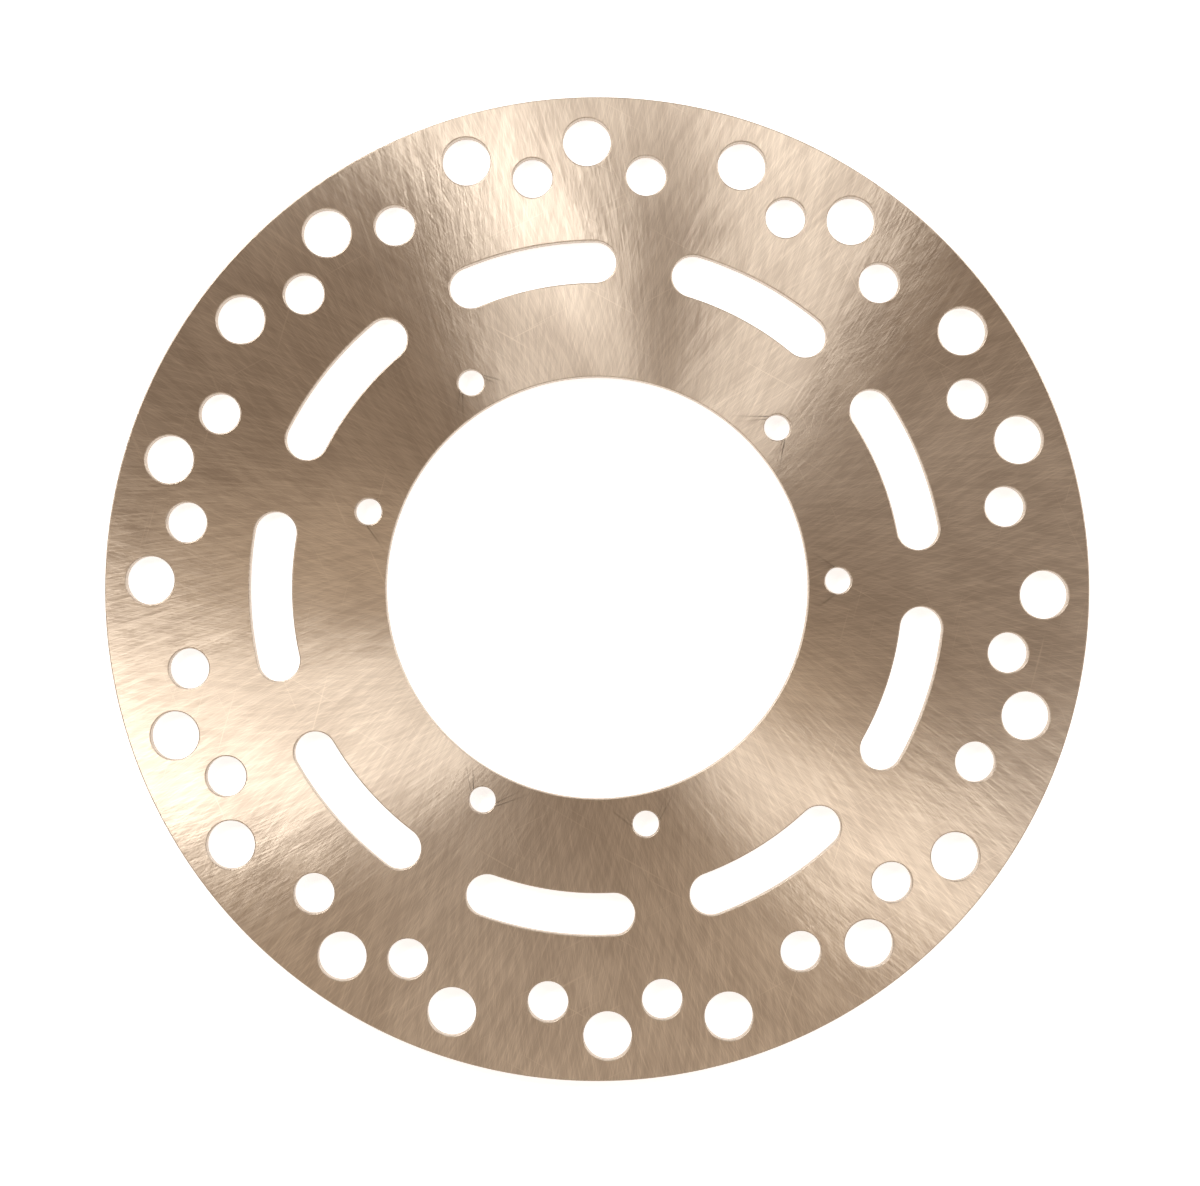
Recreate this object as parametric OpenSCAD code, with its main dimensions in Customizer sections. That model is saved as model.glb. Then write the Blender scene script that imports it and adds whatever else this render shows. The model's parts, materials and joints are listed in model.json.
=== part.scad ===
// Solid brake disc for a motorcycle: one flat ring cut and ground from a single plate.
// The bore axis is Z and the mounting face lies on z = 0. Sizes are in millimetres.
// The first mounting hole is on +X.

/* [Plate] */
// diameter across the rim
disc_d = 245; // [200:1:320]
// diameter of the middle bore that sits over the hub spigot
bore_d = 105; // [60:1:126]
// thickness of the plate
thickness = 4; // [3:0.1:6]
// leg of the small chamfer on every edge
edge_break = 0.3; // [0.1:0.05:0.6]

/* [Mounting holes] */
// diameter of each mounting hole
bolt_hole_d = 6.5; // [5:0.1:8.5]
// distance from the wall of the bore to the middle of the mounting holes
bolt_land = 7.5; // [6:0.1:10]
// number of pairs of mounting holes
bolt_pairs = 3; // [2:1:4]
// angle between the two holes of a pair
bolt_pair_angle = 40; // [20:1:60]

/* [Arc slots] */
// width of the band that the pads sweep, from the rim to the outer side of the slots
track_w = 36; // [28:0.5:40]
// number of arc slots
slot_count = 9; // [6:1:12]
// width of each slot
slot_w = 10.5; // [6:0.1:13]
// metal left between the ends of neighbouring slots, along their middle circle
slot_web = 14.3; // [8:0.1:20]

/* [Vent holes] */
// number of groups, each of two small and two large holes
vent_groups = 10; // [6:1:11]
// angle between the two holes of one size in a group
vent_pair_angle = 15.75; // [14:0.05:18]
// angle from a small hole on to the large hole after it
vent_step_angle = 8.1; // [7:0.05:9]
// angle from the first mounting hole to the first small vent hole
vent_start_angle = 9.6; // [0:0.1:36]
// diameter of the large vent holes
large_vent_d = 12; // [6:0.1:14]
// distance from the rim to the middle of the large vent holes
large_vent_inset = 11.25; // [9:0.05:13]
// diameter of the small vent holes
small_vent_d = 10; // [5:0.1:12]
// distance from the rim to the middle of the small vent holes
small_vent_inset = 19; // [18:0.1:24]

/* [Finish] */
// colour of the ground steel
steel_color = "#b8b0a5"; // ["#b8b0a5", "silver", "gray"]

/* [Hidden] */
// how far the cutting shapes stand out beyond both faces
cut_over = 1;
disc_r = disc_d / 2;
bore_r = bore_d / 2;
bolt_circle_r = bore_r + bolt_land;
slot_circle_r = disc_r - track_w - slot_w / 2;
slot_pitch = 360 / slot_count;
// angle that the slot and the web beside it take up less the slot's straight-sided length
slot_end_angle = (slot_web + slot_w) / slot_circle_r * 180 / PI;
slot_sweep = slot_pitch - slot_end_angle;
// the two halves of a slot overlap in its middle by this share of a half
slot_half_overlap = 0.1;
slot_half_sweep = slot_sweep / 2 * (1 + slot_half_overlap);
slot_start_angle = bolt_pair_angle / 2;
large_vent_circle_r = disc_r - large_vent_inset;
small_vent_circle_r = disc_r - small_vent_inset;
$fn = 128;

// Upright outline of a cut of the given half width, flared by the edge break at both faces.
function cut_side(half_w) = [
    [half_w + edge_break + cut_over, -cut_over],
    [half_w, edge_break],
    [half_w, thickness - edge_break],
    [half_w + edge_break + cut_over, thickness + cut_over]
];

// A straight round hole through the plate.
module hole(d) {
    rotate_extrude()
        polygon(concat([[0, -cut_over]], cut_side(d / 2), [[0, thickness + cut_over]]));
}

// One half of a slot. Its rounded end stands on +X, on the +Y side of the X axis, and its straight-sided
// part follows the circle from there to a little past the middle of the slot.
module slot_half() {
    outer_side = [for (p = cut_side(slot_w / 2)) [slot_circle_r + p[0], p[1]]];
    inner_side = [for (p = cut_side(slot_w / 2)) [slot_circle_r - p[0], p[1]]];
    rotate_extrude(angle = slot_half_sweep, start = -slot_half_sweep)
        polygon(concat(outer_side, [for (i = [len(inner_side) - 1:-1:0]) inner_side[i]]));
    translate([slot_circle_r, 0, 0])
        rotate_extrude(angle = 180)
            polygon(concat([[0, -cut_over]], cut_side(slot_w / 2), [[0, thickness + cut_over]]));
}

// A slot that follows its circle, centred on +X.
module arc_slot() {
    for (side = [0, 1])
        mirror([0, side, 0])
            rotate([0, 0, slot_sweep / 2])
                slot_half();
}

// The plain ring with chamfered rim and bore.
module ring() {
    rotate_extrude()
        polygon([
            [bore_r + edge_break, 0],
            [disc_r - edge_break, 0],
            [disc_r, edge_break],
            [disc_r, thickness - edge_break],
            [disc_r - edge_break, thickness],
            [bore_r + edge_break, thickness],
            [bore_r, thickness - edge_break],
            [bore_r, edge_break]
        ]);
}

module mounting_holes() {
    for (pair = [0:bolt_pairs - 1])
        for (side = [0, 1])
            rotate([0, 0, pair * 360 / bolt_pairs + side * bolt_pair_angle])
                translate([bolt_circle_r, 0, 0])
                    hole(bolt_hole_d);
}

module arc_slots() {
    for (i = [0:slot_count - 1])
        rotate([0, 0, slot_start_angle + i * slot_pitch])
            arc_slot();
}

module vent_holes() {
    for (group = [0:vent_groups - 1])
        for (side = [0, 1])
            rotate([0, 0, vent_start_angle + group * 360 / vent_groups + side * vent_pair_angle]) {
                translate([small_vent_circle_r, 0, 0])
                    hole(small_vent_d);
                rotate([0, 0, vent_step_angle])
                    translate([large_vent_circle_r, 0, 0])
                        hole(large_vent_d);
            }
}

module brake_disc() {
    color(steel_color)
        difference() {
            ring();
            mounting_holes();
            arc_slots();
            vent_holes();
        }
}

brake_disc();
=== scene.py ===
import json
import math

import bmesh
import bpy
from mathutils import Euler, Matrix, Vector


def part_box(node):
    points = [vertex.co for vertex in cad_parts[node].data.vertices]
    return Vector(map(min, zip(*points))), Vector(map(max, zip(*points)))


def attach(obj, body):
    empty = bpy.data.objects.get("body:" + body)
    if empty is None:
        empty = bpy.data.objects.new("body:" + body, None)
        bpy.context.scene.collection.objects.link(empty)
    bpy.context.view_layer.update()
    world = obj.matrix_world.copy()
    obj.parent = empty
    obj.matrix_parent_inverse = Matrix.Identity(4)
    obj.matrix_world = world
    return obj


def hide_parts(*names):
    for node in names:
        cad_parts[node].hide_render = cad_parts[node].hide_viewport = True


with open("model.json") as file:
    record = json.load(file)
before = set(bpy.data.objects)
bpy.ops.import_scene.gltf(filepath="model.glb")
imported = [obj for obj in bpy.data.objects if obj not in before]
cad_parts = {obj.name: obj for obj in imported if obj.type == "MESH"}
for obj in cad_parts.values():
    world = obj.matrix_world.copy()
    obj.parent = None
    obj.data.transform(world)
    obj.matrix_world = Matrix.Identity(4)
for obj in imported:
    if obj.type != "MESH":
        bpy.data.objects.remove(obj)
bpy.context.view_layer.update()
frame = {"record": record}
mounts = {mount["name"]: mount for mount in frame["record"]["mounts"]}
low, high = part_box("brake_disc")
print("frame loaded, disc", round((high.x - low.x) * 1000, 1), "mm across")


class Wire:
    # one output socket of a finish, so that sums and products of values write their own Math nodes
    def __init__(self, finish, socket):
        self.finish = finish
        self.socket = socket

    def math(self, operation, first, second=None):
        values = {0: first} if second is None else {0: first, 1: second}
        return self.finish.node("Math", {"operation": operation}, values)[0]

    def __add__(self, other):
        return self.math("ADD", self, other)

    def __radd__(self, other):
        return self.math("ADD", other, self)

    def __sub__(self, other):
        return self.math("SUBTRACT", self, other)

    def __rsub__(self, other):
        return self.math("SUBTRACT", other, self)

    def __mul__(self, other):
        return self.math("MULTIPLY", self, other)

    def __rmul__(self, other):
        return self.math("MULTIPLY", other, self)


class Finish:
    # a material, with one method that adds any node to it
    def __init__(self, name, tree=None):
        if tree is None:
            self.material = bpy.data.materials.new(name)
            self.material.use_nodes = True
            tree = self.material.node_tree
        self.tree = tree
        self.tree.nodes.clear()

    def node(self, kind, settings=None, values=None):
        made = self.tree.nodes.new("ShaderNode" + kind)
        for key, value in (settings or {}).items():
            setattr(made, key, value)
        for key, value in (values or {}).items():
            if isinstance(value, Wire):
                self.tree.links.new(value.socket, made.inputs[key])
            elif isinstance(value, tuple) and made.inputs[key].type == "RGBA":
                made.inputs[key].default_value = (*value, 1.0)
            else:
                made.inputs[key].default_value = value
        return [Wire(self, socket) for socket in made.outputs]

    def fit(self, value, fromLow, fromHigh, toLow=0.0, toHigh=1.0):
        # value from one range to another, eased and held at both ends
        values = {0: value, 1: fromLow, 2: fromHigh, 3: toLow, 4: toHigh}
        return self.node("MapRange", {"interpolation_type": "SMOOTHSTEP"}, values)[0]

    def mix(self, factor, first, second):
        # two colours, mixed by the factor
        return self.node("Mix", {"data_type": "RGBA"}, {0: factor, 6: first, 7: second})[2]


discPlate = {
    "edgeRound": 0.0003,
    "edgeSteps": 3,
    "edgeProfile": 0.5,
    "cornerAngle": 60,    # edges that turn by more degrees than this are rounded
    "flatAbove": 0.9999,  # a face whose normal stands up this much belongs to the ground faces
    "weld": 1e-6,
    "rimSteps": 360,
    "boreSteps": 240,
    "holeSteps": 64,
    "slotCount": 9,
    "slotCircle": 0.08125,
    "slotWidth": 0.0105,
    "slotSweep": 22.51,
    "slotStart": 20,
    "slotSideSteps": 28,
    "slotEndSteps": 30,
    "ventGroups": 10,
    "ventPair": 15.75,
    "ventStart": 9.6,
    "ventStep": 8.1,
    "largeCircle": 0.11125,
    "largeRadius": 0.006,
    "smallCircle": 0.1035,
    "smallRadius": 0.005,
    "fillTurn": 7.1,      # the outline is filled turned, as points in level rows upset the fill
}


def around(radius, degrees):
    # a point on the back face's plane, at that radius and angle round the bore's axis
    return Matrix.Rotation(math.radians(degrees), 3, "Z") @ Vector((radius, 0, 0))


def drawCircle(bm, centre, radius, steps):
    spot = Matrix.Translation(centre)
    bmesh.ops.create_circle(bm, cap_ends=False, segments=steps, radius=radius, matrix=spot)


def drawSlot(bm, middle):
    # a vertex swept along the slot's outer side, round its end, back, and round its other end
    size = discPlate
    first, last = middle - size["slotSweep"] / 2, middle + size["slotSweep"] / 2
    sweep = math.radians(size["slotSweep"])
    sides, ends = size["slotSideSteps"], size["slotEndSteps"]
    centre = Vector((0, 0, 0))
    moves = [
        (centre, sweep, sides),
        (around(size["slotCircle"], last), math.pi, ends),
        (centre, -sweep, sides),
        (around(size["slotCircle"], first), math.pi, ends),
    ]
    tip = [bm.verts.new(around(size["slotCircle"] + size["slotWidth"] / 2, first))]
    for middlePoint, angle, steps in moves:
        swept = bmesh.ops.spin(
            bm, geom=tip, cent=middlePoint, axis=(0, 0, 1), angle=angle, steps=steps,
            space=Matrix.Identity(4), use_merge=False, use_normal_flip=False, use_duplicate=False,
        )
        tip = [item for item in swept["geom_last"] if isinstance(item, bmesh.types.BMVert)]


def buildPlate():
    size = discPlate
    bm = bmesh.new()
    drawCircle(bm, (0, 0, 0), high.x, size["rimSteps"])
    drawCircle(bm, (0, 0, 0), mounts["bore"]["dims"]["r_mm"] / 1000, size["boreSteps"])
    for name, mount in mounts.items():
        if name.startswith("bolt_hole"):
            x, y, _ = mount["pos_m"]
            drawCircle(bm, (x, y, 0), mount["dims"]["r_mm"] / 1000, size["holeSteps"])
    for group in range(size["ventGroups"]):
        for side in (0, 1):
            turn = size["ventStart"] + group * 360 / size["ventGroups"] + side * size["ventPair"]
            drawCircle(bm, around(size["smallCircle"], turn), size["smallRadius"], size["holeSteps"])
            turn += size["ventStep"]
            drawCircle(bm, around(size["largeCircle"], turn), size["largeRadius"], size["holeSteps"])
    for slot in range(size["slotCount"]):
        drawSlot(bm, size["slotStart"] + slot * 360 / size["slotCount"])
    bmesh.ops.remove_doubles(bm, verts=bm.verts[:], dist=size["weld"])
    aside = Matrix.Rotation(math.radians(size["fillTurn"]), 3, "Z")
    bmesh.ops.rotate(bm, verts=bm.verts[:], cent=(0, 0, 0), matrix=aside)
    bmesh.ops.triangle_fill(bm, use_beauty=True, edges=bm.edges[:], normal=(0, 0, 1))
    bmesh.ops.rotate(bm, verts=bm.verts[:], cent=(0, 0, 0), matrix=aside.transposed())
    raised = bmesh.ops.extrude_face_region(bm, geom=bm.faces[:], use_keep_orig=True)
    lifted = [item for item in raised["geom"] if isinstance(item, bmesh.types.BMVert)]
    bmesh.ops.translate(bm, verts=lifted, vec=(0, 0, high.z))
    bmesh.ops.recalc_face_normals(bm, faces=bm.faces[:])
    corners = [edge for edge in bm.edges if edge.calc_face_angle() > math.radians(size["cornerAngle"])]
    bmesh.ops.bevel(
        bm, geom=corners, offset=size["edgeRound"], offset_type="OFFSET", affect="EDGES",
        segments=size["edgeSteps"], profile=size["edgeProfile"], material=-1, loop_slide=True,
    )
    bmesh.ops.recalc_face_normals(bm, faces=bm.faces[:])
    for face in bm.faces:
        flat = abs(face.normal.z) > size["flatAbove"]
        face.smooth = not flat
        face.material_index = 0 if flat else 1
    mesh = bpy.data.meshes.new("discPlate")
    bm.to_mesh(mesh)
    openEdges = sum(1 for edge in bm.edges if len(edge.link_faces) != 2)
    bm.free()
    plate = bpy.data.objects.new("discPlate", mesh)
    bpy.context.scene.collection.objects.link(plate)
    print("plate built,", len(mesh.polygons), "faces,", openEdges, "open edges")
    return plate


groundSteel = {
    "bright": (0.83, 0.725, 0.60),
    "dull": (0.545, 0.457, 0.37),
    "roughness": 0.355,
    "anisotropy": 1.0,
    "fan": 4,             # degrees that the shine of the crossing marks is turned
    "rise": 0.004,        # millimetres that the marks rise
    "faceSeed": 7.0,      # for each millimetre of height, so that the two faces get different marks
    "seeds": {"left": 3.1, "right": 17.7, "straight": 31.3, "softLeft": 41.9, "softRight": 57.3},
    "markDetail": 2.0,
    "markRoughness": 0.55,
    "fineRows": 330,      # marks in one radian round the disc
    "fineLean": 13,       # degrees that they lean from straight outward
    "crisp": (0.50, 0.66),  # between these values of the noise a mark goes from dull to bright
    "fineLength": 0.09,   # changes in a millimetre outward
    "fineShare": 0.26,    # what each kind of mark adds to the shade from dull to bright
    "straightMore": 1.2,  # times as many of the marks that run straight outward
    "leftSpan": 0.08,
    "straightSpan": (0.44, 0.60),
    "softRows": 60,
    "softLean": 20,
    "softLength": 0.09,
    "softSpan": (0.80, 1.20),
    "softShare": 0.28,
    "patchScale": 0.07,
    "patchDetail": 3.0,
    "patchSpan": (0.3, 0.7),
    "patchShare": 0.25,
    "scratchTurns": (17, 64, 121, 158),
    "scratchShift": (3.0, 1.7),  # millimetres that the noise moves for each degree of a scratch's turn
    "scratchWidth": 1.6,  # changes in a millimetre across a scratch
    "scratchLength": 0.03,
    "scratchDetail": 1.0,
    "scratchSpan": (0.70, 0.80),
    "scratchShare": 0.5,
}


def grindMarks(polar, lean, rows, length, seed):
    # noise drawn out into marks that lean from straight outward
    finish, angle, radius = polar
    growth = finish.node("Math", {"operation": "LOGARITHM"}, {0: radius, 1: math.e})[0]
    turn = angle - math.tan(math.radians(lean)) * growth
    across = finish.node("Math", {"operation": "COSINE"}, {0: turn})[0] * rows
    over = finish.node("Math", {"operation": "SINE"}, {0: turn})[0] * rows
    spot = finish.node("CombineXYZ", None, {0: across, 1: over, 2: radius * length + seed})[0]
    detail, roughness = groundSteel["markDetail"], groundSteel["markRoughness"]
    values = {"Vector": spot, "Scale": 1.0, "Detail": detail, "Roughness": roughness}
    return finish.node("TexNoise", None, values)[0]


def strayScratches(finish, millimetres):
    # a few long thin scratches that cross the marks, in several directions
    look = groundSteel
    sideways, deeper = look["scratchShift"]
    total = 0.0
    for turn in look["scratchTurns"]:
        shift = (turn * sideways, 0.0, turn * deeper)
        spin = {"Rotation": (0.0, 0.0, math.radians(turn)), "Location": shift}
        turned = finish.node("Mapping", None, {"Vector": millimetres, **spin})[0]
        stretch = (look["scratchWidth"], look["scratchLength"], 1.0)
        drawn = finish.node("VectorMath", {"operation": "MULTIPLY"}, {0: turned, 1: stretch})[0]
        values = {"Vector": drawn, "Scale": 1.0, "Detail": look["scratchDetail"]}
        lines = finish.node("TexNoise", None, values)[0]
        total = finish.fit(lines, *look["scratchSpan"]) + total
    return total


def makeGroundSteel():
    look = groundSteel
    finish = Finish("groundSteel")
    place = finish.node("TexCoord")[3]
    millimetres = finish.node("VectorMath", {"operation": "SCALE"}, {0: place, 3: 1000.0})[0]
    x, y, z = finish.node("SeparateXYZ", None, {0: millimetres})
    flat = finish.node("CombineXYZ", None, {0: x, 1: y, 2: 0.0})[0]
    radius = finish.node("VectorMath", {"operation": "LENGTH"}, {0: flat})[1]
    angle = finish.node("Math", {"operation": "ARCTAN2"}, {0: y, 1: x})[0]
    polar = (finish, angle, radius)
    side = z * look["faceSeed"]

    seeds = look["seeds"]
    lean, rows, length = look["fineLean"], look["fineRows"], look["fineLength"]
    leftMarks = grindMarks(polar, lean, rows, length, side + seeds["left"])
    rightMarks = grindMarks(polar, -lean, rows, length, side + seeds["right"])
    straightRows = rows * look["straightMore"]
    straightMarks = grindMarks(polar, 0, straightRows, length, side + seeds["straight"])
    lean, rows, length = look["softLean"], look["softRows"], look["softLength"]
    softLeft = grindMarks(polar, lean, rows, length, side + seeds["softLeft"])
    softRight = grindMarks(polar, -lean, rows, length, side + seeds["softRight"])
    values = {"Vector": millimetres, "Scale": look["patchScale"], "Detail": look["patchDetail"]}
    patches = finish.node("TexNoise", None, values)[0]
    leftShare = finish.fit(leftMarks - rightMarks, -look["leftSpan"], look["leftSpan"])
    straightShare = finish.fit(straightMarks, *look["straightSpan"])

    crisp = look["crisp"]
    fine = finish.fit(leftMarks, *crisp) + finish.fit(rightMarks, *crisp)
    fine = fine + finish.fit(straightMarks, *crisp)
    soft = finish.fit(softLeft + softRight, *look["softSpan"])
    patchy = finish.fit(patches, *look["patchSpan"])
    shade = fine * look["fineShare"] + soft * look["softShare"] + patchy * look["patchShare"]
    colour = finish.mix(shade, look["dull"], look["bright"])
    scratches = strayScratches(finish, millimetres)
    colour = finish.mix(scratches * look["scratchShare"], colour, look["bright"])
    height = leftMarks + rightMarks + straightMarks
    values = {"Strength": 1.0, "Distance": look["rise"] / 1000, "Height": height}
    bump = finish.node("Bump", None, values)[0]
    shaders = []
    for turned in (0.0, look["fan"] / 360, -look["fan"] / 360):
        values = {
            "Base Color": colour, "Metallic": 1.0, "Roughness": look["roughness"], "Normal": bump,
            "Anisotropic": look["anisotropy"], "Anisotropic Rotation": turned,
        }
        shaders.append(finish.node("BsdfPrincipled", None, values)[0])
    crossing = finish.node("MixShader", None, {0: leftShare, 1: shaders[2], 2: shaders[1]})[0]
    both = finish.node("MixShader", None, {0: straightShare, 1: crossing, 2: shaders[0]})[0]
    finish.node("OutputMaterial", None, {0: both})
    return finish.material


cutSteel = {
    "colour": (0.68, 0.59, 0.50),
    "dark": (0.50, 0.42, 0.34),
    "roughness": (0.36, 0.50),
    "lineScale": (2500.0, 2500.0, 260.0),
    "lineDetail": 3.0,
    "lineSpan": (0.3, 0.7),
    "bump": 0.5,
    "rise": 0.00002,
}


def makeCutSteel():
    look = cutSteel
    finish = Finish("cutSteel")
    place = finish.node("TexCoord")[3]
    drawn = finish.node("VectorMath", {"operation": "MULTIPLY"}, {0: place, 1: look["lineScale"]})[0]
    values = {"Vector": drawn, "Scale": 1.0, "Detail": look["lineDetail"]}
    lines = finish.node("TexNoise", None, values)[0]
    colour = finish.mix(finish.fit(lines, *look["lineSpan"]), look["dark"], look["colour"])
    values = {"Strength": look["bump"], "Distance": look["rise"], "Height": lines}
    bump = finish.node("Bump", None, values)[0]
    values = {
        "Base Color": colour, "Metallic": 1.0, "Normal": bump,
        "Roughness": finish.fit(lines, *look["lineSpan"], *look["roughness"]),
    }
    shader = finish.node("BsdfPrincipled", None, values)[0]
    finish.node("OutputMaterial", None, {0: shader})
    return finish.material


discPiece = buildPlate()
discPiece.data.materials.append(makeGroundSteel())
discPiece.data.materials.append(makeCutSteel())
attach(discPiece, "root")
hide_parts("brake_disc")
print("finishes made")


studio = {
    "cameraDistance": 0.72,
    "frameWidth": 0.2985,    # metres that the camera's width spans at the front face
    "nearest": 0.01,
    "tilt": 1.2,
    "roll": -1.63,
    "aim": (0.0007, -0.0014),
    "floorSize": 6.0,
    "floorDrop": 0.0002,
    "floorColour": (0.85, 0.85, 0.85),
    "floorRoughness": 0.9,
    "floorGlow": 0.68,
    "skyRise": (0.3, 0.8),   # between these heights the horizon's colour turns to the zenith's
    "zenith": (0.30, 0.215, 0.155),
    "horizon": (0.75, 0.71, 0.66),
}
lamps = {
    "keyLamp": {"turn": 129.2, "out": 0.698, "up": 0.723, "size": (0.328, 0.188), "power": 3.3},
    "fillLamp": {"turn": 30.2, "out": 0.835, "up": 0.697, "size": (0.285, 0.832), "power": 3.45},
    "kickLamp": {"turn": 155.4, "out": 0.304, "up": 0.385, "size": (0.059, 0.071), "power": 0.29},
    "lowLamp": {"turn": 315.9, "out": 0.608, "up": 0.752, "size": (0.200, 0.980), "power": 0.36},
    "softLamp": {
        "turn": 248.1, "out": 0.762, "up": 1.644, "size": (0.500, 1.109), "power": 1.75,
        "colour": (1.0, 0.86, 0.70),
    },
}


def placeCamera():
    roll = math.radians(studio["roll"])
    turned = Euler((math.radians(studio["tilt"]), 0, roll)).to_matrix()
    across, upward = studio["aim"]
    offset = Matrix.Rotation(roll, 3, "Z") @ Vector((across, upward, 0))
    face = Vector((0, 0, high.z)) + offset
    data = bpy.data.cameras.new("camera")
    data.lens = data.sensor_width * studio["cameraDistance"] / studio["frameWidth"]
    data.clip_start = studio["nearest"]
    camera = bpy.data.objects.new("camera", data)
    camera.location = face + turned @ Vector((0, 0, studio["cameraDistance"]))
    camera.rotation_euler = turned.to_euler()
    bpy.context.scene.collection.objects.link(camera)
    bpy.context.scene.camera = camera


def placeLamps():
    for name, lamp in lamps.items():
        data = bpy.data.lights.new(name, "AREA")
        data.shape = "RECTANGLE"
        data.size, data.size_y = lamp["size"]
        data.energy = lamp["power"]
        data.color = lamp.get("colour", (1.0, 1.0, 1.0))
        made = bpy.data.objects.new(name, data)
        turn = lamp["turn"] + studio["roll"]
        made.location = around(lamp["out"], turn) + Vector((0, 0, lamp["up"]))
        made.rotation_euler = made.location.to_track_quat("Z", "Y").to_euler()
        bpy.context.scene.collection.objects.link(made)


def makeWorld():
    world = bpy.data.worlds.new("studioWorld")
    world.use_nodes = True
    bpy.context.scene.world = world
    finish = Finish("studioWorld", world.node_tree)
    direction = finish.node("TexCoord")[0]
    upward = finish.node("SeparateXYZ", None, {0: direction})[2]
    colour = finish.mix(finish.fit(upward, *studio["skyRise"]), studio["horizon"], studio["zenith"])
    cameraRay = finish.node("LightPath")[0]
    seen = finish.mix(cameraRay, colour, (1.0, 1.0, 1.0))
    background = finish.node("Background", None, {"Color": seen, "Strength": 1.0})[0]
    finish.node("OutputWorld", None, {0: background})


def makeFloor():
    bm = bmesh.new()
    bmesh.ops.create_grid(bm, x_segments=1, y_segments=1, size=studio["floorSize"] / 2)
    bmesh.ops.translate(bm, verts=bm.verts[:], vec=(0, 0, -studio["floorDrop"]))
    mesh = bpy.data.meshes.new("floor")
    bm.to_mesh(mesh)
    bm.free()
    floor = bpy.data.objects.new("floor", mesh)
    bpy.context.scene.collection.objects.link(floor)
    finish = Finish("paleFloor")
    values = {
        "Base Color": studio["floorColour"], "Roughness": studio["floorRoughness"],
        "Emission Color": (1.0, 1.0, 1.0), "Emission Strength": studio["floorGlow"],
    }
    shader = finish.node("BsdfPrincipled", None, values)[0]
    finish.node("OutputMaterial", None, {0: shader})
    mesh.materials.append(finish.material)


placeCamera()
placeLamps()
makeWorld()
makeFloor()
bpy.context.scene.view_settings.view_transform = "Standard"
print("studio set")
